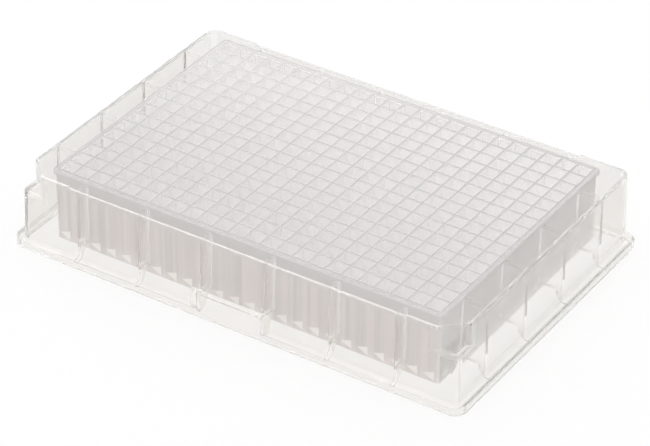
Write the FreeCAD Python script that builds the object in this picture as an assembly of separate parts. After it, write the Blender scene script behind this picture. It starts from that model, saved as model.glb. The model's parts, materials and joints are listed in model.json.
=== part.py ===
import FreeCAD, Part
import os

from FreeCAD import Vector

# A 384-well plate moulded in one piece. A block of square wells stands inside a thin skirt,
# and upright ribs carry the block on the skirt's four walls. The gap between them is open
# above and below. Millimetres: X runs along the long sides, Y along the short sides, and Z
# up from the base rim. The origin is the centre of the base.

# Footprint and heights
plate_length = 127.76
plate_width = 85.48
block_top = 22.0
block_base = 2.2
skirt_top = 21.3

# Skirt: one wall thickness all over, stepped out at the foot into a flange
wall = 1.0
ledge_width_x = 1.88
ledge_width_y = 1.64
flange_height = 2.4
wall_lean = 0.42
foot_corner_radius = 3.2
rear_corner_radius = 3.0
front_corner_radius = 2.0

# The long walls are a little lower than the corners over this much of their length
long_wall_dip = 0.4
long_wall_dip_length = 95.0

# Grip panel: the middle of each long flange rises as a box
panel_length = 21.8
panel_height = 6.85
panel_corner_radius = 0.8

# Slanted keying corners at the front, with the ledge below them
key_leg = 5.9
key_ledge_height = 15.3

# Wells
well_pitch = 4.5
columns = 24
rows = 16
web_at_mouth = 0.7
web_at_floor = 1.2
well_floor_edge = 4.5
well_tip_height = 3.2

# Block round the wells
side_at_base = 0.35
side_at_top = 0.5
block_corner_radius = 0.8
rim_overhang = 0.7
rim_height = 1.3
rim_edge_bevel = 0.3

# Grooves between the well tips, seen from below
tip_flat_width = 1.5
groove_depth = 1.25
outer_wall_at_base = 0.85

# Ribs between the block and the skirt
rib_thickness = 1.0
rib_spacing = 18.0
ribs_per_long_side = 6
ribs_per_short_side = 4
rib_underside = 4.7
rib_foot = 1.1
rib_foot_reach = 0.3
rib_knee_inset = 2.0
rib_fin_bulge = 0.45
rib_knee_radius = 0.9
rib_bite = 0.3

# Cutting tools run past the faces that they open by this much
clear = 1.0

# Points nearer to each other than this are one point
same_place = 0.01

# Length of a square's diagonal over its side
diagonal = 2 ** 0.5

array_half_x = columns * well_pitch / 2
array_half_y = rows * well_pitch / 2
foot_half_x = plate_length / 2
foot_half_y = plate_width / 2
wall_half_x = foot_half_x - ledge_width_x
wall_half_y = foot_half_y - ledge_width_y


def frustum(low_x, low_y, high_x, high_y, z_low, z_high):
    """Box on the Z axis whose half sizes run from the low pair to the high pair."""
    solid = Part.makeWedge(-low_x, z_low, -low_y, -high_y, -high_x,
                           low_x, z_high, low_y, high_y, high_x)
    solid.rotate(Vector(0, 0, 0), Vector(1, 0, 0), 90)
    return solid


def upright_edges(solid, side=0):
    """Corner edges of a box: all four, or only those on the front (-1) or rear (1) side."""
    edges = []
    for edge in solid.Edges:
        start = edge.Vertexes[0].Point
        end = edge.Vertexes[-1].Point
        rises = abs(end.z - start.z) > abs(end.x - start.x) + abs(end.y - start.y)
        if rises and (side == 0 or start.y * side > 0):
            edges.append(edge)
    return edges


def prism(points, direction):
    """Straight solid over a closed outline."""
    return Part.Face(Part.makePolygon(points + [points[0]])).extrude(direction)


def mirrored(solid, normal):
    """The solid's twin across a plane through the Z axis."""
    return solid.mirror(Vector(0, 0, 0), normal)


def wall_shrink(height):
    """How far the leaning wall stands in from its foot at a height."""
    return wall_lean * (height - flange_height) / (skirt_top - flange_height)


def skirt_form(inset):
    """The skirt's outline as one solid, set in all round: 0 gives its outside."""
    below = clear if inset else 0.0
    low = -below
    high = skirt_top + below
    foot = frustum(foot_half_x - inset, foot_half_y - inset, foot_half_x - inset,
                   foot_half_y - inset, low, flange_height - inset)
    foot = foot.makeFillet(foot_corner_radius - inset, upright_edges(foot))
    upper = frustum(wall_half_x - inset - wall_shrink(low), wall_half_y - inset - wall_shrink(low),
                    wall_half_x - inset - wall_shrink(high), wall_half_y - inset - wall_shrink(high),
                    low, high)
    upper = upper.makeFillet(rear_corner_radius - inset, upright_edges(upper, 1))
    upper = upper.makeFillet(front_corner_radius - inset, upright_edges(upper, -1))
    panels = frustum(panel_length / 2 - inset, foot_half_y - inset, panel_length / 2 - inset,
                     foot_half_y - inset, low, panel_height - inset)
    panels = panels.makeFillet(panel_corner_radius, upright_edges(panels))
    return foot.fuse([upper.cut(key_corners(inset)), panels])


def key_corners(inset):
    """What the slanted front corners take away above their ledges."""
    height = skirt_top + 2 * clear - key_ledge_height
    key_line = wall_half_x + wall_half_y - 2 * wall_lean - key_leg - inset * diagonal
    reach = foot_half_x
    z = key_ledge_height - inset
    right = prism([Vector(reach, -reach, z), Vector(reach, reach - key_line, z),
                   Vector(key_line - reach, -reach, z)], Vector(0, 0, height + inset))
    return Part.makeCompound([right, mirrored(right, Vector(1, 0, 0))])


def make_skirt():
    """Thin stepped skirt, open above and below."""
    return skirt_form(0).cut(skirt_form(wall))


def long_wall_dips():
    """What is missing from the top of the long walls between their corners."""
    inner = array_half_y + side_at_top + rim_overhang
    depth = foot_half_y - inner
    front = Part.makeBox(long_wall_dip_length, depth, long_wall_dip + clear,
                         Vector(-long_wall_dip_length / 2, -foot_half_y, skirt_top - long_wall_dip))
    return Part.makeCompound([front, mirrored(front, Vector(0, 1, 0))])


def rib_outline(side, wall_face, foot_face):
    """Side view of one rib, drawn outwards along X from the block's side to the flange."""
    start = side - rib_bite
    knee = Vector(wall_face - wall - rib_knee_inset, 0, rib_underside)
    toe = Vector(wall_face - wall + rib_foot_reach, 0, rib_foot)
    chord = toe - knee
    bulge = Vector(chord.z, 0, -chord.x).normalize() * rib_fin_bulge
    middle = (knee + toe) * 0.5 + bulge
    end = foot_face - wall / 2
    corners = [toe, Vector(end, 0, rib_foot), Vector(end, 0, skirt_top), Vector(start, 0, skirt_top),
               Vector(start, 0, rib_underside), knee]
    edges = [Part.Arc(knee, middle, toe).toShape()]
    for first, second in zip(corners, corners[1:]):
        edges.append(Part.LineSegment(first, second).toShape())
    return Part.Wire(edges), knee


def make_rib(side, wall_face, foot_face):
    """One rib that points along +X, centred on the X axis."""
    outline, knee = rib_outline(side, wall_face, foot_face)
    rib = Part.Face(outline).extrude(Vector(0, rib_thickness, 0))
    rib.translate(Vector(0, -rib_thickness / 2, 0))
    knee_edges = []
    for edge in rib.Edges:
        if edge.CenterOfMass.distanceToPoint(knee) < same_place:
            knee_edges.append(edge)
    return rib.makeFillet(rib_knee_radius, knee_edges)


def rib_places(count):
    """Rib positions along one side, evenly spaced about its middle."""
    return [(index - (count - 1) / 2) * rib_spacing for index in range(count)]


def make_ribs():
    """All ribs, trimmed to the outside of the skirt."""
    end_rib = make_rib(array_half_x + side_at_base, wall_half_x, foot_half_x)
    long_rib = make_rib(array_half_y + side_at_base, wall_half_y, foot_half_y)
    ribs = []
    for y in rib_places(ribs_per_short_side):
        rib = end_rib.copy()
        rib.translate(Vector(0, y, 0))
        ribs += [rib, mirrored(rib, Vector(1, 0, 0))]
    for x in rib_places(ribs_per_long_side):
        rib = long_rib.copy()
        rib.rotate(Vector(0, 0, 0), Vector(0, 0, 1), 90)
        rib.translate(Vector(x, 0, 0))
        ribs += [rib, mirrored(rib, Vector(0, 1, 0))]
    return Part.makeCompound(ribs).common(skirt_form(0))


def pyramid(half, z_tip, z_base):
    """Square pyramid that stands on its tip on the Z axis."""
    tip = Vector(0, 0, z_tip)
    corners = [Vector(half, half, z_base), Vector(-half, half, z_base),
               Vector(-half, -half, z_base), Vector(half, -half, z_base)]
    faces = [Part.Face(Part.makePolygon(corners + [corners[0]]))]
    for first, second in zip(corners, corners[1:] + [corners[0]]):
        faces.append(Part.Face(Part.makePolygon([first, second, tip, first])))
    return Part.Solid(Part.Shell(faces))


def well_centres():
    """Centre of every well, row by row."""
    centres = []
    for row in range(rows):
        for column in range(columns):
            x = (column + 0.5) * well_pitch - array_half_x
            y = (row + 0.5) * well_pitch - array_half_y
            centres.append(Vector(x, y, 0))
    return centres


def make_well():
    """The space inside one well: a drafted square shaft that ends in a pyramid."""
    mouth = (well_pitch - web_at_mouth) / 2
    floor = (well_pitch - web_at_floor) / 2
    shaft = frustum(floor, floor, mouth, mouth, well_floor_edge, block_top)
    return shaft.fuse(pyramid(floor, well_tip_height, well_floor_edge))


def make_wells():
    """The spaces inside all the wells."""
    well = make_well()
    wells = []
    for centre in well_centres():
        copy = well.copy()
        copy.translate(centre)
        wells.append(copy)
    return Part.makeCompound(wells)


def make_grooves():
    """V grooves under the webs, inside the block's outer wall: the lengthwise and crosswise sets."""
    low = block_base - clear
    peak = block_base + groove_depth
    spread = (well_pitch - tip_flat_width) / 2 * (groove_depth + clear) / groove_depth
    end_x = array_half_x + side_at_base - outer_wall_at_base
    end_y = array_half_y + side_at_base - outer_wall_at_base
    inside = Part.makeBox(2 * end_x, 2 * end_y, groove_depth + 2 * clear, Vector(-end_x, -end_y, low))
    along = prism([Vector(-end_x, -spread, low), Vector(-end_x, spread, low), Vector(-end_x, 0, peak)],
                  Vector(2 * end_x, 0, 0))
    across = prism([Vector(-spread, -end_y, low), Vector(spread, -end_y, low), Vector(0, -end_y, peak)],
                   Vector(0, 2 * end_y, 0))
    lengthwise = []
    for line in range(rows + 1):
        groove = along.copy()
        groove.translate(Vector(0, line * well_pitch - array_half_y, 0))
        lengthwise.append(groove.common(inside))
    crosswise = []
    for line in range(columns + 1):
        groove = across.copy()
        groove.translate(Vector(line * well_pitch - array_half_x, 0, 0))
        crosswise.append(groove.common(inside))
    return Part.makeCompound(lengthwise), Part.makeCompound(crosswise)


def make_block():
    """Solid outside of the well block with its bevelled rim."""
    body = frustum(array_half_x + side_at_base, array_half_y + side_at_base,
                   array_half_x + side_at_top, array_half_y + side_at_top, block_base, block_top)
    body = body.makeFillet(block_corner_radius, upright_edges(body))
    rim_x = array_half_x + side_at_top + rim_overhang
    rim_y = array_half_y + side_at_top + rim_overhang
    rim = frustum(rim_x, rim_y, rim_x, rim_y, block_top - rim_height, block_top)
    rim = rim.makeFillet(block_corner_radius + rim_overhang, upright_edges(rim))
    top_edges = []
    for edge in rim.Edges:
        if abs(edge.CenterOfMass.z - block_top) < same_place:
            top_edges.append(edge)
    rim = rim.makeChamfer(rim_edge_bevel, top_edges)
    return body.fuse(rim)


def make_plate():
    """The whole moulding."""
    lengthwise, crosswise = make_grooves()
    block = make_block().cut(lengthwise).cut(crosswise)
    plate = make_skirt().fuse([make_ribs(), block])
    return plate.cut([long_wall_dips(), make_wells()]).removeSplitter()


os.makedirs("parts", exist_ok=True)
well_plate = make_plate()
print("solids", len(well_plate.Solids), "valid", well_plate.isValid(), "volume", well_plate.Volume)
print("box", well_plate.BoundBox)
well_plate.exportStep("parts/well_plate.step")
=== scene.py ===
import json
import math
from types import SimpleNamespace

import bmesh
import bpy
from mathutils import Matrix, Vector

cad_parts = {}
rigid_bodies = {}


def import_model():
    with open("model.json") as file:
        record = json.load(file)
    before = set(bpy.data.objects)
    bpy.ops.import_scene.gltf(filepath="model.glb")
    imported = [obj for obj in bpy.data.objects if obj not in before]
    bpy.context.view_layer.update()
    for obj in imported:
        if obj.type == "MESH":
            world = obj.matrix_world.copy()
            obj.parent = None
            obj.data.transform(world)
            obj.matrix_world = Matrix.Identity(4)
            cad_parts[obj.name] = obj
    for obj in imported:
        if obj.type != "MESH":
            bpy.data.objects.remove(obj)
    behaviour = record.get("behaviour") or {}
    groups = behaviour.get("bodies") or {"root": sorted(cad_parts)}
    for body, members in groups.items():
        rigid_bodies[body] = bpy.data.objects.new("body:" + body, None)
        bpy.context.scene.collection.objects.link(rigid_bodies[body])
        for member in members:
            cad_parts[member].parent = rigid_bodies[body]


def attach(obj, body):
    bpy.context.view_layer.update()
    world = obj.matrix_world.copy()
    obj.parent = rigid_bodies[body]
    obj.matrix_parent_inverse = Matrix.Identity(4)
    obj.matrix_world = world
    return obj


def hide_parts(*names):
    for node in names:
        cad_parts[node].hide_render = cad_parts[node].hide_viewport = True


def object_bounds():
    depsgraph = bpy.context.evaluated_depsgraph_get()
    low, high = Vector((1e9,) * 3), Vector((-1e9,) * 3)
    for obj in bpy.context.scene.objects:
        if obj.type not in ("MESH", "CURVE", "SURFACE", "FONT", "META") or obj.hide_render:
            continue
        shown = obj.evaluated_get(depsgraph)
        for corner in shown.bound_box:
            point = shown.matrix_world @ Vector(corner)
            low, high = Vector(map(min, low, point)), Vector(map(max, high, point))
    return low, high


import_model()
cad_low, cad_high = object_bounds()

# A 384-well plate moulded in one piece: a block of square wells stands in a thin ribbed skirt.
# Sizes are in millimetres, and MM turns them into the frame's metres as meshes and looks are
# made. X runs along the long sides and Y along the short sides, with the front at -Y.
MM = 0.001

# Footprint and height, from the frame
FOOT_X = (cad_high.x - cad_low.x) / 2 / MM
FOOT_Y = (cad_high.y - cad_low.y) / 2 / MM
BLOCK_TOP = cad_high.z / MM

# Skirt
SKIRT_TOP = BLOCK_TOP - 0.7
WALL = 1.0
WALL_X = FOOT_X - 1.88
WALL_Y = FOOT_Y - 1.64
WALL_LEAN = 0.42
FLANGE_HEIGHT = 2.4
FOOT_RADIUS = 3.2
REAR_RADIUS = 3.0
FRONT_RADIUS = 2.0
DIP_DEPTH = 0.4
DIP_LENGTH = 95.0
PANEL_LENGTH = 21.8
PANEL_HEIGHT = 6.85
PANEL_RADIUS = 0.8
KEY_LEG = 5.9
KEY_LEDGE = 15.3
SKIRT_ROUNDING = 0.2

# Wells
PITCH = 4.5
COLUMNS = 24
ROWS = 16
ARRAY_X = COLUMNS * PITCH / 2
ARRAY_Y = ROWS * PITCH / 2
MOUTH = 3.8
FLOOR = 3.3
FLOOR_HEIGHT = 4.5
TIP_HEIGHT = 3.2
TIP_WIDTH = 0.24
TIP_RADIUS = 0.05
WELL_RADIUS = 0.35
MOUTH_ROUNDING = 0.12

# Block round the wells
BLOCK_BASE = 2.2
SIDE_AT_BASE = 0.35
SIDE_AT_TOP = 0.5
RIM_OVERHANG = 0.7
RIM_HEIGHT = 1.3
RIM_ROUNDING = 0.45
RIM_CHAMFER = 0.15
BASE_CHAMFER = 0.1
BLOCK_RADIUS = 0.8
GROOVE_HALF = 1.5
GROOVE_DEPTH = 1.25
OUTER_WALL = 0.85

# Ribs
RIB = 1.0
RIB_SPACING = 18.0
LONG_RIBS = 6
SHORT_RIBS = 4
RIB_UNDERSIDE = 4.7
RIB_FOOT = 1.1
RIB_KNEE_INSET = 2.0
RIB_KNEE_RADIUS = 0.54
RIB_BULGE = 0.45
RIB_FOOT_REACH = 0.3
RIB_BITE = 0.3
RIB_BELOW_EDGE = 0.1

# Mesh detail, with angles in degrees
CORNER_STEPS = 8
ROUNDING_STEPS = 5
RIM_STEPS = 4
MOUTH_STEPS = 3
KNEE_STEPS = 4
FIN_STEPS = 6
SHARP_ANGLE = 28
OUTER_EDGE_ANGLE = 35
FLAT_ANGLE = 1
WELD = 0.002

# Soft edges of the areas that share a look
FEATHER = 0.1
SIDE_BLEND = 0.5

# Clear finish of the skirt and the ribs
CLEAR_COLOUR = (0.91, 0.897, 0.878, 1)
CLEAR_TINT = (0.89, 0.878, 0.858, 1)
CLEAR_SHADOW = (0.95, 0.95, 0.94, 1)
CLEAR_IOR = 1.15
CLEAR_TRANSMISSION = 0.88
CLEAR_COAT = 0.6
COAT_ROUGHNESS = 0.05
SOFT_ROUGHNESS = 0.45
EDGE_ALPHA = 0.75
RIB_ALPHA = 0.2
RIB_FADE = (4, 6)
RIB_MARGIN = 0.13
TOP_EDGE_DEPTH = 0.75
FRONT_DEPTH = 6
KEY_MARGIN = 1.6
KEY_DEPTH = 1.3
# Painted shade: grey on the flat tops of the left and rear walls, less on the right
TOP_FACE_SHADE_COLOUR = (0.5, 0.5, 0.49, 1)
TOP_FACE_SLOPE = (0.6, 0.9)
TOP_FACE_FROM = 10
RIGHT_EDGE_SHARE = 0.15
RIGHT_DEPTH = 3
# Painted shade: a grey line along the foot's top near both ends
FOOT_LINE_SHADE_COLOUR = (0.6, 0.59, 0.57, 1)
FOOT_LINE_SLOPE = (0.3, 0.6)
FOOT_LINE = 0.8
FOOT_MARGIN = 0.2
FLANGE_EDGE = (0.05, 0.15)
FLANGE_SOFTNESS = 0.6

# Milky finish of the well block, with painted light and shade in its colours
BLOCK_IOR = 1.49
BLOCK_SHADOW = (0.983, 0.982, 0.981, 1)
OUTSIDE_EDGE = (0.22, 0.3)
TOP_SKIN = (0.14, 0.1)
WALL_ALPHA = 0.92
SIDE_ALPHA = 0.8
RIM_ALPHA = 0.45
BEHIND_ALPHA = 0.25
OUTER_WELL_ALPHA = 0.4
OUTER_WELL_DEPTH = 0.75
OUTER_WELL_TOP = (0.5, 0.8)
LEVEL_FLOOR_TOP = (0.15, 0.05)
# Painted light: the wells are lighter towards the rear
FRONT_WELL_SHADED_COLOUR = (0.885, 0.875, 0.875, 1)
BACK_WELL_LIT_COLOUR = (0.92, 0.914, 0.911, 1)
# Painted shade: the sides are darker than the wells, and the ends darker still
SIDE_SHADE_COLOUR = (0.575, 0.525, 0.535, 1)
END_SHADE_COLOUR = (0.43, 0.415, 0.42, 1)
# Painted light: lighter just under the rim, against the rim's shade
UNDER_RIM_LIGHT_COLOUR = (0.66, 0.645, 0.64, 1)
END_UNDER_RIM_LIGHT_COLOUR = (0.63, 0.61, 0.605, 1)
# Painted light: lighter stripes and streaks where the inner walls show through the sides
STRIPE_LIGHT_COLOUR = (0.74, 0.66, 0.66, 1)
STREAK_LIGHT_COLOUR = (0.76, 0.72, 0.72, 1)
STREAK_STRENGTH = 0.8
STREAK_TOP = 17.3
STREAKS_LOWER_ON_END = 6
# Painted shade: the rim and the web tops greyer than the wells, with darker lines along the webs
RIM_COLOUR = (0.57, 0.54, 0.537, 1)
WEB_SHADE_COLOUR = (0.46, 0.445, 0.445, 1)
WEB_EDGE_COLOUR = (0.70, 0.69, 0.687, 1)
WEB_LINE = (0.3, 0.12)
# Painted sheen: the web lines fade towards the rear left
WEB_FADE = (15, 50)
WEB_FADE_REARWARD = 0.8
WEB_FADE_LEFTWARD = 0.5
WEB_FAINTEST = 0.3
# Painted shade: a darker line round the wells on the front and right sides only
PERIMETER_SHADE_COLOUR = (0.42, 0.40, 0.40, 1)
PERIMETER_LINE = (0.25, 0.12)

# Painted light: small bright wedges at the foot of the block's sides, one to a well, where the floors show
# through
WEDGE_LIGHT_COLOUR = (1.0, 0.98, 0.96, 1)
WEDGE_START = 0.6
WEDGE_END = 3.6
WEDGE_HEIGHT = 4.15
WEDGE_FALL = -0.5
WEDGE_RISE = 0.37
WEDGE_EDGE = (-0.05, 0.1)
WEDGE_ON_END = 0.3

# Floor, light and camera, with angles in degrees
WHITE_SHARE = 0.75
FLOOR_SIDE = 3.0
FLOOR_DEPTH = 0.1
FLOOR_COLOUR = (0.93, 0.93, 0.93, 1)
SKY_LOW = 0.76
SKY_HIGH = 0.86
VIEW_TURN = 32.44
VIEW_RISE = 33.92
VIEW_ROLL = 0.75
VIEW_DISTANCE = 792.1
VIEW_SHIFT = (-0.44, -13.02)
VIEW_TARGET = (0, 0, 21.86)
FOCAL_LENGTH = 181.7
SENSOR_WIDTH = 36


# ---------------------------------------------------------------- mesh helpers


def new_object(name, points, faces):
    """Mesh object from points in millimetres."""
    mesh = bpy.data.meshes.new(name)
    mesh.from_pydata([(x * MM, y * MM, z * MM) for x, y, z in points], [], faces)
    mesh.update()
    thing = bpy.data.objects.new(name, mesh)
    bpy.context.scene.collection.objects.link(thing)
    return thing


def outline(half_x, half_y, z, rear_radius, front_radius=None):
    """Rounded rectangle at a height, counterclockwise from above, with its own front radius."""
    front_radius = rear_radius if front_radius is None else front_radius
    corners = ((1, 1, rear_radius), (-1, 1, rear_radius), (-1, -1, front_radius), (1, -1, front_radius))
    points = []
    for quarter, (side_x, side_y, radius) in enumerate(corners):
        for step in range(CORNER_STEPS + 1):
            angle = math.radians(90 * (quarter + step / CORNER_STEPS))
            points.append((side_x * (half_x - radius) + radius * math.cos(angle),
                           side_y * (half_y - radius) + radius * math.sin(angle), z))
    return points


def loft(name, rings):
    """Closed mesh through rings of equal length, from the lowest to the highest."""
    count = len(rings[0])
    points = [point for ring in rings for point in ring]
    faces = [tuple(reversed(range(count)))]
    for low in range(0, len(points) - count, count):
        for index in range(count):
            after = (index + 1) % count
            faces.append((low + index, low + after, low + count + after, low + count + index))
    faces.append(tuple(range(len(points) - count, len(points))))
    return new_object(name, points, faces)


def prism(name, profile, depth, turn=None):
    """Closed straight mesh: a counterclockwise XY profile raised by depth, then turned."""
    count = len(profile)
    points = [(x, y, 0) for x, y in profile] + [(x, y, depth) for x, y in profile]
    if turn is not None:
        points = [tuple(turn @ Vector(point)) for point in points]
    faces = [tuple(reversed(range(count))), tuple(range(count, 2 * count))]
    for index in range(count):
        after = (index + 1) % count
        faces.append((index, after, count + after, count + index))
    return new_object(name, points, faces)


def combine(target, others, operation):
    """Changes target's mesh by a union with, or a difference from, the other closed meshes."""
    for other in others:
        step = target.modifiers.new(operation, "BOOLEAN")
        step.operation = operation
        step.solver = "MANIFOLD"
        step.object = other
    apply_modifiers(target)
    for other in others:
        bpy.data.objects.remove(other)


def apply_modifiers(thing):
    """Turns the object's evaluated shape into its own plain mesh."""
    graph = bpy.context.evaluated_depsgraph_get()
    mesh = bpy.data.meshes.new_from_object(thing.evaluated_get(graph))
    thing.modifiers.clear()
    thing.data = mesh


# ---------------------------------------------------------------- skirt


def wall_shrink(height):
    """How far the leaning wall stands in from its foot at a height."""
    return WALL_LEAN * (height - FLANGE_HEIGHT) / (SKIRT_TOP - FLANGE_HEIGHT)


def skirt_form(inset):
    """The skirt's outline as one closed mesh, set in all round: 0 gives its outside."""
    below = 1.0 if inset else 0.0
    foot_x = FOOT_X - inset
    foot_y = FOOT_Y - inset
    foot = loft("foot", [outline(foot_x, foot_y, z, FOOT_RADIUS - inset)
                         for z in (-below, FLANGE_HEIGHT - inset)])
    rings = []
    for z in (-below, SKIRT_TOP + below):
        shrink = wall_shrink(z) + inset
        rings.append(outline(WALL_X - shrink, WALL_Y - shrink, z, REAR_RADIUS - inset, FRONT_RADIUS - inset))
    wall = loft("wall", rings)
    panel = loft("panel", [outline(PANEL_LENGTH / 2 - inset, foot_y, z, PANEL_RADIUS)
                           for z in (-below, PANEL_HEIGHT - inset)])
    combine(wall, key_corners(inset), "DIFFERENCE")
    combine(wall, [foot, panel], "UNION")
    return wall


def key_corners(inset):
    """What the slanted front corners take away above their ledges."""
    line = WALL_X + WALL_Y - 2 * WALL_LEAN - KEY_LEG - inset * math.sqrt(2)
    reach = FOOT_X
    low = Matrix.Translation((0, 0, KEY_LEDGE - inset))
    above = 2
    height = SKIRT_TOP + above - KEY_LEDGE + inset
    right = prism("key_right", [(line - reach, -reach), (reach, -reach), (reach, reach - line)], height, low)
    left = prism("key_left", [(-reach, reach - line), (-reach, -reach), (reach - line, -reach)], height, low)
    return [right, left]


def dips():
    """What is missing from the top of the long walls between their corners."""
    inner = ARRAY_Y + SIDE_AT_TOP + RIM_OVERHANG
    half = DIP_LENGTH / 2
    height = 2
    lift = Matrix.Translation((0, 0, SKIRT_TOP - DIP_DEPTH))
    front = [(-half, -FOOT_Y), (half, -FOOT_Y), (half, -inner), (-half, -inner)]
    rear = [(-half, inner), (half, inner), (half, FOOT_Y), (-half, FOOT_Y)]
    return [prism("dip_front", front, height, lift), prism("dip_rear", rear, height, lift)]


def make_skirt():
    """Thin stepped skirt, open above and below, with its edges rounded."""
    skirt = skirt_form(0)
    combine(skirt, [skirt_form(WALL)] + dips(), "DIFFERENCE")
    tidy_flats(skirt)
    mark_outer_edges(skirt)
    rounding = skirt.modifiers.new("rounding", "BEVEL")
    rounding.width = SKIRT_ROUNDING * MM
    rounding.segments = ROUNDING_STEPS
    rounding.limit_method = "WEIGHT"
    rounding.use_clamp_overlap = False
    apply_modifiers(skirt)
    return skirt


def mark_outer_edges(thing):
    """Gives a bevel weight to the sharp edges that stick out."""
    shape = bmesh.new()
    shape.from_mesh(thing.data)
    weight = shape.edges.layers.float.new("bevel_weight_edge")
    for edge in shape.edges:
        if edge.is_convex and edge.calc_face_angle(0) > math.radians(OUTER_EDGE_ANGLE):
            edge[weight] = 1
    shape.to_mesh(thing.data)
    shape.free()


def tidy_flats(thing):
    """Merges doubled points and the flat faces that the cuts have split."""
    shape = bmesh.new()
    shape.from_mesh(thing.data)
    bmesh.ops.remove_doubles(shape, verts=shape.verts, dist=WELD * MM)
    bmesh.ops.dissolve_limit(shape, angle_limit=math.radians(FLAT_ANGLE),
                             verts=shape.verts, edges=shape.edges)
    shape.to_mesh(thing.data)
    shape.free()


# ---------------------------------------------------------------- ribs


def fillet(before, corner, after, radius, steps):
    """Points of a round corner of this radius between two straight sides."""
    first = (before - corner).normalized()
    second = (after - corner).normalized()
    half = first.angle(second) / 2
    centre = corner + (first + second).normalized() * radius / math.sin(half)
    start = corner + first * radius / math.tan(half) - centre
    end = corner + second * radius / math.tan(half) - centre
    sweep = start.angle_signed(end)
    points = []
    for step in range(steps + 1):
        turn = -sweep * step / steps
        points.append(centre + Matrix.Rotation(turn, 2) @ start)
    return points


def rib_profile(side, wall_face, foot_face, top, shelf):
    """Side view of a rib as (outward, up): from the block, under the knee, out to the shelf and back."""
    knee = Vector((wall_face - WALL - RIB_KNEE_INSET, RIB_UNDERSIDE))
    toe = Vector((wall_face - WALL + RIB_FOOT_REACH, RIB_FOOT))
    chord = toe - knee
    bow = Vector((chord.y, -chord.x)).normalized() * -RIB_BULGE
    fin = []
    for step in range(FIN_STEPS + 1):
        share = step / FIN_STEPS
        fin.append(knee + chord * share - bow * 4 * share * (1 - share))
    start = Vector((side - RIB_BITE, RIB_UNDERSIDE))
    knee_points = fillet(start, knee, fin[1], RIB_KNEE_RADIUS, KNEE_STEPS)
    middle = wall_face - WALL / 2
    foot_middle = foot_face - WALL / 2
    low = shelf - WALL / 2
    outer = [Vector((foot_middle, RIB_FOOT)), Vector((foot_middle, low)),
             Vector((middle - wall_shrink(low), low)), Vector((middle - wall_shrink(top), top)),
             Vector((side - RIB_BITE, top))]
    return [start] + knee_points + fin[2:] + outer


def rib_blank(name, side, wall_face, foot_face, top, shelf):
    """One rib that points along +X, centred on the X axis."""
    profile = [(point.x, point.y) for point in rib_profile(side, wall_face, foot_face, top, shelf)]
    upright = Matrix.Translation((0, RIB / 2, 0)) @ Matrix.Rotation(math.radians(90), 4, "X")
    return prism(name, profile, RIB, upright)


# ---------------------------------------------------------------- well block


def make_block_blank():
    """Solid outside of the well block with its rounded rim."""
    rings = []
    base_x = ARRAY_X + SIDE_AT_BASE
    base_y = ARRAY_Y + SIDE_AT_BASE
    rings.append(outline(base_x - BASE_CHAMFER, base_y - BASE_CHAMFER,
                         BLOCK_BASE, BLOCK_RADIUS - BASE_CHAMFER))
    rings.append(outline(base_x, base_y, BLOCK_BASE + BASE_CHAMFER, BLOCK_RADIUS))
    rim_base = BLOCK_TOP - RIM_HEIGHT
    rings.append(outline(ARRAY_X + SIDE_AT_TOP, ARRAY_Y + SIDE_AT_TOP, rim_base, BLOCK_RADIUS))
    rim_x = ARRAY_X + SIDE_AT_TOP + RIM_OVERHANG
    rim_y = ARRAY_Y + SIDE_AT_TOP + RIM_OVERHANG
    rim_radius = BLOCK_RADIUS + RIM_OVERHANG
    rings.append(outline(rim_x - RIM_CHAMFER, rim_y - RIM_CHAMFER, rim_base, rim_radius - RIM_CHAMFER))
    rings.append(outline(rim_x, rim_y, rim_base + RIM_CHAMFER, rim_radius))
    for step in range(RIM_STEPS + 1):
        angle = math.radians(90 * step / RIM_STEPS)
        shrink = RIM_ROUNDING * (1 - math.cos(angle))
        z = BLOCK_TOP - RIM_ROUNDING * (1 - math.sin(angle))
        rings.append(outline(rim_x - shrink, rim_y - shrink, z, rim_radius - shrink))
    return loft("block_blank", rings)


def square_ring(width, z, radius, steps=2):
    """Small rounded square, counterclockwise from above."""
    half = width / 2 - radius
    points = []
    for quarter, (side_x, side_y) in enumerate(((1, 1), (-1, 1), (-1, -1), (1, -1))):
        for step in range(steps + 1):
            angle = math.radians(90 * (quarter + step / steps))
            points.append((side_x * half + radius * math.cos(angle),
                           side_y * half + radius * math.sin(angle), z))
    return points


def make_well_space():
    """The space inside one well: pyramid tip, drafted shaft and a rounded mouth."""
    above = 0.3
    rings = [square_ring(TIP_WIDTH, TIP_HEIGHT, TIP_RADIUS)]
    rings.append(square_ring(FLOOR, FLOOR_HEIGHT, WELL_RADIUS))
    rings.append(square_ring(MOUTH, BLOCK_TOP - MOUTH_ROUNDING, WELL_RADIUS))
    for step in range(1, MOUTH_STEPS + 1):
        angle = math.radians(90 * step / MOUTH_STEPS)
        grow = 2 * MOUTH_ROUNDING * (1 - math.cos(angle))
        z = BLOCK_TOP - MOUTH_ROUNDING * (1 - math.sin(angle))
        rings.append(square_ring(MOUTH + grow, z, WELL_RADIUS + grow / 2))
    rings.append([(x, y, z + above) for x, y, z in rings[-1]])
    return loft("well_space", rings)


def make_groove(name, half_length, turn=0):
    """One V groove under a line of webs, along X or turned along Y."""
    below = 0.4
    spread = GROOVE_HALF * (GROOVE_DEPTH + below) / GROOVE_DEPTH
    profile = [(-spread, BLOCK_BASE - below), (spread, BLOCK_BASE - below), (0, BLOCK_BASE + GROOVE_DEPTH)]
    upright = Matrix.Translation((0, half_length, 0)) @ Matrix.Rotation(math.radians(90), 4, "X")
    return prism(name, profile, 2 * half_length, Matrix.Rotation(turn, 4, "Z") @ upright)


# ---------------------------------------------------------------- the moulding as a node tree


def new_node(tree, kind, **settings):
    """Adds a node with its settings."""
    made = tree.nodes.new(kind)
    for name, value in settings.items():
        setattr(made, name, value)
    return made


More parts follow.
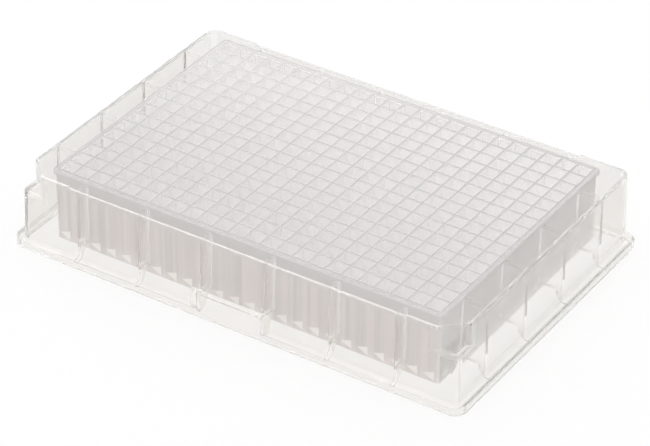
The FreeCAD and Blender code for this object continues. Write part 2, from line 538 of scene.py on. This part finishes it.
def sum_node(tree, operation, *given):
    """A maths node fed with sockets and numbers, in their order."""
    made = new_node(tree, "ShaderNodeMath", operation=operation)
    for socket, value in zip(made.inputs, given):
        if isinstance(value, (int, float)):
            socket.default_value = value
        else:
            tree.links.new(value, socket)
    return made.outputs[0]


def tree_input(tree, name, kind):
    """Named input of the tree, and the identifier that its modifier knows it by."""
    return tree.interface.new_socket(name, in_out="INPUT", socket_type="NodeSocket" + kind).identifier


class MouldingTree:
    """Geometry Nodes tree that adds the repeats to the blank and cuts them from it."""

    def __init__(self):
        """Makes the tree with a named input for each size, shape and finish."""
        self.tree = bpy.data.node_groups.new("moulding", "GeometryNodeTree")
        self.ids = {}
        for name, kind in (("Geometry", "Geometry"), ("Pitch", "Float"),
                           ("Columns", "Int"), ("Rows", "Int"),
                           ("Rib spacing", "Float"), ("Long side ribs", "Int"), ("Short side ribs", "Int"),
                           ("Panel half length", "Float"), ("Well", "Object"), ("Groove along", "Object"),
                           ("Groove across", "Object"), ("Groove limit", "Object"),
                           ("Long side rib", "Object"), ("Panel rib", "Object"),
                           ("Short side rib", "Object"), ("Skirt", "Object"),
                           ("Skirt finish", "Material"), ("Block finish", "Material"),
                           ("Block half X", "Float"), ("Block half Y", "Float")):
            self.ids[name] = tree_input(self.tree, name, kind)
        self.tree.interface.new_socket("Geometry", in_out="OUTPUT", socket_type="NodeSocketGeometry")
        self.inputs = new_node(self.tree, "NodeGroupInput")
        self.build()

    def link(self, source, target):
        """Joins two sockets."""
        self.tree.links.new(source, target)

    def value(self, name):
        """Socket of one of the tree's inputs."""
        return self.inputs.outputs[name]

    def shape(self, name):
        """Mesh of one of the input objects."""
        info = new_node(self.tree, "GeometryNodeObjectInfo", transform_space="ORIGINAL")
        self.link(self.value(name), info.inputs["Object"])
        return info.outputs["Geometry"]

    def maths(self, operation, *given):
        """One sum on values, each a socket or a number."""
        return sum_node(self.tree, operation, *given)

    def vector(self, x=None, y=None):
        """Vector along X, Y or both, from sockets."""
        made = new_node(self.tree, "ShaderNodeCombineXYZ")
        for axis, given in (("X", x), ("Y", y)):
            if given is not None:
                self.link(given, made.inputs[axis])
        return made.outputs[0]

    def line(self, count, spacing, axis):
        """Evenly spaced points about the origin on one axis."""
        length = self.maths("MULTIPLY", self.maths("SUBTRACT", count, 1), spacing)
        start = self.maths("MULTIPLY", length, -0.5)
        made = new_node(self.tree, "GeometryNodeMeshLine", mode="OFFSET")
        self.link(count, made.inputs["Count"])
        self.link(self.vector(**{axis: start}), made.inputs["Start Location"])
        self.link(self.vector(**{axis: spacing}), made.inputs["Offset"])
        return made.outputs["Mesh"]

    def repeat(self, points, instance, turn=0, selection=None):
        """Real copies of a mesh on points."""
        made = new_node(self.tree, "GeometryNodeInstanceOnPoints")
        self.link(points, made.inputs["Points"])
        self.link(instance, made.inputs["Instance"])
        made.inputs["Rotation"].default_value = (0, 0, turn)
        if selection is not None:
            self.link(selection, made.inputs["Selection"])
        real = new_node(self.tree, "GeometryNodeRealizeInstances")
        self.link(made.outputs["Instances"], real.inputs["Geometry"])
        return real.outputs["Geometry"]

    def twins(self, geometry):
        """The geometry and its copy turned half round."""
        turned = new_node(self.tree, "GeometryNodeTransform")
        turned.inputs["Rotation"].default_value = (0, 0, math.pi)
        self.link(geometry, turned.inputs["Geometry"])
        return [geometry, turned.outputs["Geometry"]]

    def boolean(self, operation, meshes):
        """Union or overlap of the meshes, or the first one less the rest."""
        made = new_node(self.tree, "GeometryNodeMeshBoolean", operation=operation, solver="MANIFOLD")
        rest = meshes
        if operation == "DIFFERENCE":
            self.link(meshes[0], made.inputs["Mesh 1"])
            rest = meshes[1:]
        for mesh in rest:
            self.link(mesh, made.inputs["Mesh 2"])
        return made.outputs["Mesh"]

    def position(self):
        """X and Y of each point."""
        place = new_node(self.tree, "GeometryNodeInputPosition")
        parts = new_node(self.tree, "ShaderNodeSeparateXYZ")
        self.link(place.outputs[0], parts.inputs[0])
        return parts.outputs["X"], parts.outputs["Y"]

    def ribs(self):
        """Every rib on the four sides."""
        points = self.line(self.value("Long side ribs"), self.value("Rib spacing"), "x")
        off_centre = self.maths("ABSOLUTE", self.position()[0])
        in_panel = self.maths("LESS_THAN", off_centre, self.value("Panel half length"))
        beside = self.maths("SUBTRACT", 1, in_panel)
        found = self.twins(self.repeat(points, self.shape("Long side rib"), math.pi / 2, beside))
        found += self.twins(self.repeat(points, self.shape("Panel rib"), math.pi / 2, in_panel))
        ends = self.line(self.value("Short side ribs"), self.value("Rib spacing"), "y")
        return found + self.twins(self.repeat(ends, self.shape("Short side rib")))

    def wells(self):
        """The space inside every well."""
        grid = new_node(self.tree, "GeometryNodeMeshGrid")
        for size, count, letter in (("Size X", "Columns", "X"), ("Size Y", "Rows", "Y")):
            gaps = self.maths("SUBTRACT", self.value(count), 1)
            self.link(self.maths("MULTIPLY", gaps, self.value("Pitch")), grid.inputs[size])
            self.link(self.value(count), grid.inputs["Vertices " + letter])
        return self.repeat(grid.outputs["Mesh"], self.shape("Well"))

    def grooves(self, shape, count, axis):
        """One set of grooves: a line under every web and under both outer walls."""
        lines = self.line(self.maths("ADD", self.value(count), 1), self.value("Pitch"), axis)
        return self.boolean("INTERSECT", [self.repeat(lines, self.shape(shape)), self.shape("Groove limit")])

    def build(self):
        """Joins the ribs and the skirt to the blank, cuts it, and gives it both finishes."""
        solid = self.boolean("UNION", [self.value("Geometry"), self.shape("Skirt")] + self.ribs())
        solid = self.boolean("DIFFERENCE", [solid, self.wells()])
        solid = self.boolean("DIFFERENCE", [solid, self.grooves("Groove along", "Rows", "y")])
        solid = self.boolean("DIFFERENCE", [solid, self.grooves("Groove across", "Columns", "x")])
        real = new_node(self.tree, "GeometryNodeRealizeInstances")
        self.link(solid, real.inputs["Geometry"])
        skirt = self.finish(real.outputs["Geometry"], "Skirt finish")
        block = self.finish(skirt, "Block finish", self.inside_block())
        output = new_node(self.tree, "NodeGroupOutput")
        self.link(block, output.inputs[0])

    def inside_block(self):
        """True on faces with every corner in the well block, false on the ribs and the skirt."""
        x, y = self.position()
        in_x = self.maths("LESS_THAN", self.maths("ABSOLUTE", x), self.value("Block half X"))
        in_y = self.maths("LESS_THAN", self.maths("ABSOLUTE", y), self.value("Block half Y"))
        corners = new_node(self.tree, "GeometryNodeFieldOnDomain", domain="POINT", data_type="BOOLEAN")
        self.link(self.maths("MULTIPLY", in_x, in_y), corners.inputs[0])
        return corners.outputs[0]

    def finish(self, geometry, name, selection=None):
        """Gives the mesh, or its selected faces, one of the input materials."""
        made = new_node(self.tree, "GeometryNodeSetMaterial")
        self.link(geometry, made.inputs["Geometry"])
        self.link(self.value(name), made.inputs["Material"])
        if selection is not None:
            self.link(selection, made.inputs["Selection"])
        return made.outputs["Geometry"]


def make_plate(skirt_finish, block_finish):
    """The whole moulding as one closed mesh."""
    long_top = SKIRT_TOP - DIP_DEPTH - RIB_BELOW_EDGE
    end_top = SKIRT_TOP - RIB_BELOW_EDGE
    side_x = ARRAY_X + SIDE_AT_BASE
    side_y = ARRAY_Y + SIDE_AT_BASE
    limit_x = side_x - OUTER_WALL
    limit_y = side_y - OUTER_WALL
    limit_outline = [(-limit_x, -limit_y), (limit_x, -limit_y), (limit_x, limit_y), (-limit_x, limit_y)]
    limit_height = 4
    overrun = 1
    limit = prism("groove_limit", limit_outline, limit_height,
                  Matrix.Translation((0, 0, BLOCK_BASE - overrun)))
    pieces = {
        "Well": make_well_space(),
        "Groove along": make_groove("groove_along", limit_x + overrun, math.radians(90)),
        "Groove across": make_groove("groove_across", limit_y + overrun),
        "Groove limit": limit,
        "Long side rib": rib_blank("long_rib", side_y, WALL_Y, FOOT_Y, long_top, FLANGE_HEIGHT),
        "Panel rib": rib_blank("panel_rib", side_y, WALL_Y, FOOT_Y, long_top, PANEL_HEIGHT),
        "Short side rib": rib_blank("short_rib", side_x, WALL_X, FOOT_X, end_top, FLANGE_HEIGHT),
        "Skirt": make_skirt(),
    }
    margin = 0.05
    past_rim = SIDE_AT_TOP + RIM_OVERHANG + margin
    sizes = {
        "Pitch": PITCH * MM,
        "Columns": COLUMNS,
        "Rows": ROWS,
        "Rib spacing": RIB_SPACING * MM,
        "Long side ribs": LONG_RIBS,
        "Short side ribs": SHORT_RIBS,
        "Panel half length": PANEL_LENGTH / 2 * MM,
        "Skirt finish": skirt_finish,
        "Block finish": block_finish,
        "Block half X": (ARRAY_X + past_rim) * MM,
        "Block half Y": (ARRAY_Y + past_rim) * MM,
    }
    plate = make_block_blank()
    moulding = MouldingTree()
    step = plate.modifiers.new("moulding", "NODES")
    step.node_group = moulding.tree
    for name, value in {**sizes, **pieces}.items():
        step[moulding.ids[name]] = value
    apply_modifiers(plate)
    for piece in pieces.values():
        bpy.data.objects.remove(piece)
    return plate


# ---------------------------------------------------------------- looks


def clear_to_lamps(tree, shader, tint):
    """Lets shadow rays through with a tint, and shows the shader to all other rays."""
    path = new_node(tree, "ShaderNodeLightPath")
    clear = new_node(tree, "ShaderNodeBsdfTransparent")
    clear.inputs["Color"].default_value = tint
    mix = new_node(tree, "ShaderNodeMixShader")
    tree.links.new(path.outputs["Is Shadow Ray"], mix.inputs[0])
    tree.links.new(shader.outputs[0], mix.inputs[1])
    tree.links.new(clear.outputs[0], mix.inputs[2])
    tree.links.new(mix.outputs[0], tree.nodes["Material Output"].inputs["Surface"])


def ramp(tree, value, low, high, first=0.0, last=1.0):
    """Straight ramp of a value from first at low to last at high."""
    made = new_node(tree, "ShaderNodeMapRange")
    tree.links.new(value, made.inputs["Value"])
    limits = (("From Min", low), ("From Max", high), ("To Min", first), ("To Max", last))
    for name, number in limits:
        made.inputs[name].default_value = number
    return made.outputs[0]


def mm_ramp(tree, value, low, high, first=0.0, last=1.0):
    """Ramp between two places in millimetres."""
    return ramp(tree, value, low * MM, high * MM, first, last)


def product(tree, first, *others):
    """Masks multiplied in their order."""
    for other in others:
        first = sum_node(tree, "MULTIPLY", first, other)
    return first


def object_place(tree):
    """X, Y and Z on the object."""
    place = new_node(tree, "ShaderNodeTexCoord")
    parts = new_node(tree, "ShaderNodeSeparateXYZ")
    tree.links.new(place.outputs["Object"], parts.inputs[0])
    return parts.outputs


def facing(tree):
    """The surface's own node, and how much it faces up."""
    surface = new_node(tree, "ShaderNodeNewGeometry")
    parts = new_node(tree, "ShaderNodeSeparateXYZ")
    tree.links.new(surface.outputs["Normal"], parts.inputs[0])
    return surface, parts.outputs["Z"]


def beyond(tree, along, half):
    """How far a place lies beyond a half length in millimetres, either way along one axis."""
    return sum_node(tree, "SUBTRACT", sum_node(tree, "ABSOLUTE", along), half * MM)


def furthest(tree, x, y, half_x, half_y):
    """How far a place lies beyond a rectangle, on the side where that is most."""
    return sum_node(tree, "MAXIMUM", beyond(tree, x, half_x), beyond(tree, y, half_y))


def new_finish(name):
    """New material, its tree and its shader."""
    material = bpy.data.materials.new(name)
    material.use_nodes = True
    return material, material.node_tree, material.node_tree.nodes["Principled BSDF"]


def colour_mix(tree, share, first, last):
    """First colour to last by share, each a socket or a colour."""
    made = new_node(tree, "ShaderNodeMix", data_type="RGBA")
    tree.links.new(share, made.inputs[0])
    for socket, colour in ((made.inputs[6], first), (made.inputs[7], last)):
        if isinstance(colour, tuple):
            socket.default_value = colour
        else:
            tree.links.new(colour, socket)
    return made.outputs[2]


def make_cloud():
    """Shared effect: a cloudy value between two limits that stays in place on the object."""
    tree = bpy.data.node_groups.new("cloud", "ShaderNodeTree")
    for name in ("Scale", "Detail", "Lowest", "Highest"):
        tree.interface.new_socket(name, in_out="INPUT", socket_type="NodeSocketFloat")
    tree.interface.new_socket("Value", in_out="OUTPUT", socket_type="NodeSocketFloat")
    given = new_node(tree, "NodeGroupInput")
    place = new_node(tree, "ShaderNodeTexCoord")
    cloud = new_node(tree, "ShaderNodeTexNoise")
    tree.links.new(place.outputs["Object"], cloud.inputs["Vector"])
    tree.links.new(given.outputs["Scale"], cloud.inputs["Scale"])
    tree.links.new(given.outputs["Detail"], cloud.inputs["Detail"])
    value = ramp(tree, cloud.outputs[0], 0.3, 0.7)
    spread = value.node
    tree.links.new(given.outputs["Lowest"], spread.inputs["To Min"])
    tree.links.new(given.outputs["Highest"], spread.inputs["To Max"])
    tree.links.new(value, new_node(tree, "NodeGroupOutput").inputs[0])
    return tree


CLOUD = make_cloud()


def cloud(tree, scale, detail, lowest, highest):
    """The shared cloud with its own values in one material."""
    made = new_node(tree, "ShaderNodeGroup", node_tree=CLOUD)
    settings = (("Scale", scale), ("Detail", detail), ("Lowest", lowest), ("Highest", highest))
    for name, number in settings:
        made.inputs[name].default_value = number
    return made.outputs["Value"]


def skirt_colour(tree, x, y, z, upward, not_front):
    """Clear colour, with painted shade: grey on the top of the left and rear walls, less on the right, and a
    grey line on the foot's outer ends.
    """
    tint = cloud(tree, scale=60, detail=2, lowest=0.3, highest=0.7)
    clear = colour_mix(tree, tint, CLEAR_COLOUR, CLEAR_TINT)
    # Painted shade on the wall tops, left and rear, less on the right
    high_up = mm_ramp(tree, z, TOP_FACE_FROM, TOP_FACE_FROM + 1)
    right_start = WALL_X - RIGHT_DEPTH
    not_right = mm_ramp(tree, x, right_start, right_start + SIDE_BLEND, 1, RIGHT_EDGE_SHARE)
    top_face_shade = product(tree, ramp(tree, upward, *TOP_FACE_SLOPE), high_up, not_front, not_right)
    # Painted shade: grey line on the foot's top near both ends
    line_start = FOOT_X - FOOT_LINE
    to_end = mm_ramp(tree, sum_node(tree, "ABSOLUTE", x), line_start - 0.2, line_start)
    foot_line_shade = product(tree, on_foot(tree, z), to_end, ramp(tree, upward, *FOOT_LINE_SLOPE))
    clear = colour_mix(tree, foot_line_shade, clear, FOOT_LINE_SHADE_COLOUR)
    return colour_mix(tree, top_face_shade, clear, TOP_FACE_SHADE_COLOUR)


def on_foot(tree, z):
    """1 up to the flange's top and 0 above it."""
    top = FLANGE_HEIGHT + FOOT_MARGIN
    return mm_ramp(tree, z, top, top + FEATHER, 1, 0)


def key_zone(tree, x, y, z, from_top):
    """1 on the slanted front corners, below their top edge."""
    across = sum_node(tree, "ADD", sum_node(tree, "ABSOLUTE", x), sum_node(tree, "ABSOLUTE", y))
    line = WALL_X + WALL_Y - 2 * WALL_LEAN - KEY_LEG - KEY_MARGIN
    ledge = KEY_LEDGE - KEY_DEPTH
    return product(tree, mm_ramp(tree, across, line - FEATHER, line),
                   mm_ramp(tree, z, ledge, ledge + FEATHER),
                   sum_node(tree, "LESS_THAN", y, 0), ramp(tree, from_top, 0, 1, 1, 0))


def skirt_polypropylene():
    """Clear, slightly hazy polypropylene of the skirt and the ribs."""
    material, tree, shader = new_finish("clear_polypropylene")
    shader.inputs["IOR"].default_value = CLEAR_IOR
    shader.inputs["Transmission Weight"].default_value = CLEAR_TRANSMISSION
    shader.inputs["Coat Roughness"].default_value = COAT_ROUGHNESS
    x, y, z = object_place(tree)
    upward = facing(tree)[1]
    not_front = mm_ramp(tree, y, FRONT_DEPTH - WALL_Y, FRONT_DEPTH + SIDE_BLEND - WALL_Y)
    colour = skirt_colour(tree, x, y, z, upward, not_front)
    tree.links.new(colour, shader.inputs["Base Color"])

    # The ribs hardly show in front of the block
    rib_end = WALL + WALL_LEAN + RIB_MARGIN
    to_wall = furthest(tree, x, y, WALL_X - rib_end, WALL_Y - rib_end)
    gap = product(tree, mm_ramp(tree, to_wall, 0, FEATHER, 1, 0), mm_ramp(tree, z, *RIB_FADE))
    edge_start = SKIRT_TOP - TOP_EDGE_DEPTH
    from_top = mm_ramp(tree, z, edge_start, edge_start + FEATHER)
    edge = product(tree, from_top, not_front)
    alpha = sum_node(tree, "MINIMUM", ramp(tree, gap, 0, 1, 1, RIB_ALPHA),
                     ramp(tree, edge, 0, 1, 1, EDGE_ALPHA))
    tree.links.new(alpha, shader.inputs["Alpha"])

    # Edges, key corners and the flange are less polished than the walls
    past_wall = furthest(tree, x, y, WALL_X, WALL_Y)
    flange = product(tree, mm_ramp(tree, past_wall, *FLANGE_EDGE), on_foot(tree, z), FLANGE_SOFTNESS)
    soft = sum_node(tree, "MAXIMUM", edge, key_zone(tree, x, y, z, from_top))
    soft = ramp(tree, sum_node(tree, "MAXIMUM", soft, flange), 0, 1, 0, SOFT_ROUGHNESS)
    grain = cloud(tree, scale=400, detail=3, lowest=0.07, highest=0.13)
    tree.links.new(sum_node(tree, "MAXIMUM", grain, soft), shader.inputs["Roughness"])
    tree.links.new(ramp(tree, from_top, 0, 1, CLEAR_COAT, 1), shader.inputs["Coat Weight"])
    clear_to_lamps(tree, shader, CLEAR_SHADOW)
    return material


def from_line(tree, along):
    """Distance to the nearest web's middle along one axis."""
    cell = sum_node(tree, "FRACT", sum_node(tree, "MULTIPLY_ADD", along, 1 / (PITCH * MM), 0.5))
    off_middle = sum_node(tree, "ABSOLUTE", sum_node(tree, "SUBTRACT", cell, 0.5))
    return sum_node(tree, "MULTIPLY", off_middle, PITCH * MM)


def block_places(tree):
    """Where a point lies on the block, and the masks that its looks share."""
    x, y, z = object_place(tree)
    beyond_x = beyond(tree, x, ARRAY_X)
    beyond_y = beyond(tree, y, ARRAY_Y)
    past = sum_node(tree, "MAXIMUM", beyond_x, beyond_y)
    on_end = sum_node(tree, "GREATER_THAN", beyond_x, beyond_y)
    return SimpleNamespace(
        x=x, y=y, z=z, past=past, on_end=on_end,
        along=sum_node(tree, "MULTIPLY_ADD", on_end, sum_node(tree, "SUBTRACT", y, x), x),
        outer=mm_ramp(tree, past, *OUTSIDE_EDGE),
        top=mm_ramp(tree, z, BLOCK_TOP - TOP_SKIN[0], BLOCK_TOP - TOP_SKIN[1]))


def wedges(tree, at):
    """1 on the painted bright wedge of each well along the block's sides."""
    cell = sum_node(tree, "FRACT", sum_node(tree, "DIVIDE", at.along, PITCH * MM))
    cell_mm = sum_node(tree, "MULTIPLY", cell, PITCH)
    height_mm = sum_node(tree, "DIVIDE", at.z, MM)
    run = sum_node(tree, "SUBTRACT", cell_mm, WEDGE_START)
    low_line = sum_node(tree, "MULTIPLY_ADD", run, WEDGE_FALL, WEDGE_HEIGHT)
    top_line = sum_node(tree, "MULTIPLY_ADD", run, WEDGE_RISE, WEDGE_HEIGHT)
    inside = sum_node(tree, "MINIMUM", sum_node(tree, "SUBTRACT", height_mm, low_line),
                      sum_node(tree, "SUBTRACT", top_line, height_mm))
    inside = sum_node(tree, "MINIMUM", inside, sum_node(tree, "SUBTRACT", WEDGE_END, cell_mm))
    return ramp(tree, inside, *WEDGE_EDGE)


def streaks(tree, at, below, scale, detail, low, high, on_end):
    """Painted light: uneven upright streaks on the block's sides where the inner walls show through, which
    set in as the noise goes from low to high.
    """
    noise = new_node(tree, "ShaderNodeTexNoise", noise_dimensions="1D")
    noise.inputs["Scale"].default_value = scale
    noise.inputs["Detail"].default_value = detail
    tree.links.new(at.along, noise.inputs["W"])
    flow = ramp(tree, noise.outputs[0], low, high, 0, STREAK_STRENGTH)
    return product(tree, flow, at.outer, below, ramp(tree, at.on_end, 0, 1, 1, on_end))


def side_colours(tree, at):
    """Milky wells and sides, with painted light and shade: wells lighter to the rear, sides darker and ends
    darker still, lighter under the rim, light streaks below it where the inner walls show through, and
    bright wedges at the foot.
    """
    streak_top = sum_node(tree, "MULTIPLY_ADD", at.on_end, -STREAKS_LOWER_ON_END * MM, STREAK_TOP * MM)
    above_streaks = sum_node(tree, "SUBTRACT", at.z, streak_top)
    # Painted shade: the ends darker than the long sides
    side = colour_mix(tree, at.on_end, SIDE_SHADE_COLOUR, END_SHADE_COLOUR)
    # Painted light: lighter under the rim
    under_rim = colour_mix(tree, at.on_end, UNDER_RIM_LIGHT_COLOUR, END_UNDER_RIM_LIGHT_COLOUR)
    side = colour_mix(tree, mm_ramp(tree, above_streaks, -1, 0.5), side, under_rim)
    # Painted light: the wells lighter towards the rear
    to_rear = mm_ramp(tree, at.y, -ARRAY_Y, ARRAY_Y)
    well = colour_mix(tree, to_rear, FRONT_WELL_SHADED_COLOUR, BACK_WELL_LIT_COLOUR)
    colour = colour_mix(tree, at.outer, well, side)
    below = mm_ramp(tree, above_streaks, 0, -1)
    # Painted light: streaks where the inner walls show through
    stripes = streaks(tree, at, below, scale=380, detail=1, low=0.4, high=0.62, on_end=0.3)
    colour = colour_mix(tree, stripes, colour, STRIPE_LIGHT_COLOUR)
    fine_streaks = streaks(tree, at, below, scale=550, detail=2, low=0.45, high=0.75, on_end=0.15)
    colour = colour_mix(tree, fine_streaks, colour, STREAK_LIGHT_COLOUR)
    # Painted light: bright wedges where the well floors show through
    wedge = product(tree, wedges(tree, at), ramp(tree, at.on_end, 0, 1, 1, WEDGE_ON_END), at.outer)
    return colour_mix(tree, wedge, colour, WEDGE_LIGHT_COLOUR)


def top_colours(tree, at):
    """Painted shade on the tops of the webs and the rim: thin grey lines that fade to the rear as a painted
    sheen, and a darker line round the wells on the front and right.
    """
    # Painted sheen: the web lines fade towards the rear left
    to_rear = sum_node(tree, "SUBTRACT", sum_node(tree, "MULTIPLY", at.y, WEB_FADE_REARWARD),
                       sum_node(tree, "MULTIPLY", at.x, WEB_FADE_LEFTWARD))
    from_web = sum_node(tree, "MINIMUM", from_line(tree, at.x), from_line(tree, at.y))
    line = product(tree, mm_ramp(tree, from_web, *WEB_LINE),
                   mm_ramp(tree, to_rear, *WEB_FADE, 1, WEB_FAINTEST))
    colour = colour_mix(tree, line, WEB_EDGE_COLOUR, WEB_SHADE_COLOUR)
    colour = colour_mix(tree, at.outer, colour, RIM_COLOUR)
    # Painted shade: the line round the wells only on the front and right sides
    front_or_right = sum_node(tree, "MULTIPLY_ADD", at.on_end, sum_node(tree, "ADD", at.x, at.y),
                              sum_node(tree, "MULTIPLY", at.y, -1))
    perimeter = product(tree, mm_ramp(tree, sum_node(tree, "ABSOLUTE", at.past), *PERIMETER_LINE),
                        sum_node(tree, "GREATER_THAN", front_or_right, 0))
    return colour_mix(tree, perimeter, colour, PERIMETER_SHADE_COLOUR)


def block_alpha(tree, at, surface):
    """How solid the block looks: its outermost wells and its rim let light through."""
    behind = ramp(tree, surface.outputs["Backfacing"], 0, 1, SIDE_ALPHA, BEHIND_ALPHA)
    high, low = OUTER_WELL_TOP
    outermost = product(tree, mm_ramp(tree, at.past, -OUTER_WELL_DEPTH, FEATHER - OUTER_WELL_DEPTH),
                        mm_ramp(tree, at.z, BLOCK_TOP - high, BLOCK_TOP - low))
    outermost = ramp(tree, outermost, 0, 1, WALL_ALPHA, OUTER_WELL_ALPHA)
    alpha = new_node(tree, "ShaderNodeMix", data_type="FLOAT")
    tree.links.new(at.outer, alpha.inputs[0])
    tree.links.new(outermost, alpha.inputs[2])
    tree.links.new(behind, alpha.inputs[3])
    rim = product(tree, at.top, at.outer)
    return sum_node(tree, "SUBTRACT", alpha.outputs[0],
                    sum_node(tree, "MULTIPLY", rim, SIDE_ALPHA - RIM_ALPHA))


def level_floors(tree, at, surface, upward):
    """The surface's normal, but straight up on the wells' sloping floors, which look flat."""
    high, low = LEVEL_FLOOR_TOP
    low_down = mm_ramp(tree, at.z, FLOOR_HEIGHT + high, FLOOR_HEIGHT + low)
    share = product(tree, low_down, ramp(tree, at.outer, 0, 1, 1, 0), ramp(tree, upward, 0, 0.05))
    level = new_node(tree, "ShaderNodeMix", data_type="VECTOR")
    tree.links.new(share, level.inputs[0])
    tree.links.new(surface.outputs["Normal"], level.inputs[4])
    level.inputs[5].default_value = (0, 0, 1)
    return level.outputs[1]


def block_polypropylene():
    """Milky polypropylene of the well block, with painted light and shade in its colour."""
    material, tree, shader = new_finish("milky_polypropylene")
    shader.inputs["IOR"].default_value = BLOCK_IOR
    at = block_places(tree)
    surface, upward = facing(tree)
    colour = colour_mix(tree, at.top, side_colours(tree, at), top_colours(tree, at))
    haze = cloud(tree, scale=300, detail=3, lowest=0.3, highest=0.4)
    tree.links.new(colour, shader.inputs["Base Color"])
    tree.links.new(block_alpha(tree, at, surface), shader.inputs["Alpha"])
    tree.links.new(haze, shader.inputs["Roughness"])
    tree.links.new(level_floors(tree, at, surface, upward), shader.inputs["Normal"])
    clear_to_lamps(tree, shader, BLOCK_SHADOW)
    return material


def smooth_shade(thing):
    """Smooth shading that stays flat on large faces and turns only in the small rounded edges."""
    thing.data.shade_smooth()
    thing.data.set_sharp_from_angle(angle=math.radians(SHARP_ANGLE))
    weighted = thing.modifiers.new("weighted", "WEIGHTED_NORMAL")
    weighted.mode = "FACE_AREA"
    weighted.weight = 100
    weighted.keep_sharp = True
    apply_modifiers(thing)


plate = make_plate(skirt_polypropylene(), block_polypropylene())
plate.name = "moulded_plate"
smooth_shade(plate)
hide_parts("well_plate")
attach(plate, "root")

# ---------------------------------------------------------------- floor, light and camera


def white_to_the_eye(tree, shader):
    """Plain white where it is seen or mirrored, and the shader's own grey where it lights or is shaded."""
    path = new_node(tree, "ShaderNodeLightPath")
    seen = path.outputs["Is Camera Ray"]
    for name in ("Is Glossy Ray", "Is Transmission Ray"):
        seen = sum_node(tree, "MAXIMUM", seen, path.outputs[name])
    white = new_node(tree, "ShaderNodeEmission")
    mix = new_node(tree, "ShaderNodeMixShader")
    tree.links.new(sum_node(tree, "MULTIPLY", seen, WHITE_SHARE), mix.inputs[0])
    tree.links.new(shader.outputs[0], mix.inputs[1])
    tree.links.new(white.outputs[0], mix.inputs[2])
    tree.links.new(mix.outputs[0], tree.nodes["Material Output"].inputs["Surface"])


def make_floor():
    """Plain pale floor just under the foot."""
    mesh = bpy.data.meshes.new("floor")
    corners = ((-1, -1), (1, -1), (1, 1), (-1, 1))
    mesh.from_pydata([(x * FLOOR_SIDE, y * FLOOR_SIDE, -FLOOR_DEPTH * MM) for x, y in corners],
                     [], [(0, 1, 2, 3)])
    floor = bpy.data.objects.new("floor", mesh)
    bpy.context.scene.collection.objects.link(floor)
    material, tree, shader = new_finish("floor")
    shader.inputs["Base Color"].default_value = FLOOR_COLOUR
    shader.inputs["Roughness"].default_value = 0.9
    white_to_the_eye(tree, shader)
    mesh.materials.append(material)
    return floor


def soft_lamp(name, place, size, power):
    """Square lamp that points at the origin: metres and watts."""
    lamp = bpy.data.lights.new(name, "AREA")
    lamp.shape = "SQUARE"
    lamp.size = size
    lamp.energy = power
    thing = bpy.data.objects.new(name, lamp)
    thing.location = place
    thing.rotation_mode = "QUATERNION"
    thing.rotation_quaternion = (-Vector(place)).to_track_quat("-Z", "Y")
    bpy.context.scene.collection.objects.link(thing)
    return thing


def make_camera():
    """Camera that looks down on the corner between a long side and a short side."""
    turn = math.radians(VIEW_TURN)
    rise = math.radians(VIEW_RISE)
    roll = math.radians(VIEW_ROLL)
    back = Vector((math.sin(turn) * math.cos(rise), -math.cos(turn) * math.cos(rise), math.sin(rise)))
    level = Vector((0, 0, 1)).cross(back).normalized()
    upright = back.cross(level)
    right = level * math.cos(roll) + upright * math.sin(roll)
    up = upright * math.cos(roll) - level * math.sin(roll)
    lens = bpy.data.cameras.new("camera")
    lens.lens = FOCAL_LENGTH
    lens.sensor_width = SENSOR_WIDTH
    lens.sensor_fit = "HORIZONTAL"
    lens.clip_start = 0.05
    camera = bpy.data.objects.new("camera", lens)
    camera.matrix_world = Matrix((
        (right.x, up.x, back.x, 0), (right.y, up.y, back.y, 0), (right.z, up.z, back.z, 0), (0, 0, 0, 1)))
    shift_right, shift_up = VIEW_SHIFT
    camera.location = (Vector(VIEW_TARGET) + back * VIEW_DISTANCE + right * shift_right + up * shift_up) * MM
    bpy.context.scene.collection.objects.link(camera)
    bpy.context.scene.camera = camera


def make_sky():
    """White surroundings that are a little brighter overhead."""
    world = bpy.data.worlds.new("studio")
    world.use_nodes = True
    sky = world.node_tree
    away = new_node(sky, "ShaderNodeTexCoord")
    height = new_node(sky, "ShaderNodeSeparateXYZ")
    sky.links.new(away.outputs["Generated"], height.inputs[0])
    background = sky.nodes["Background"]
    brightness = ramp(sky, height.outputs["Z"], 0, 1, SKY_LOW, SKY_HIGH)
    sky.links.new(brightness, background.inputs["Strength"])
    background.inputs["Color"].default_value = (1, 1, 1, 1)
    bpy.context.scene.world = world


make_floor()
soft_lamp("key", place=(-0.64, -0.95, 1.19), size=0.3, power=4)
soft_lamp("fill", place=(1.35, -0.4, 1.05), size=1.2, power=3.5)
soft_lamp("back", place=(-0.27, 0.42, 0.36), size=0.25, power=0.5)
make_sky()
make_camera()
scene = bpy.context.scene
scene.view_settings.view_transform = "Standard"
scene.cycles.transparent_max_bounces = 64
scene.cycles.max_bounces = 32
scene.cycles.diffuse_bounces = 24
scene.cycles.glossy_bounces = 32
scene.cycles.transmission_bounces = 32
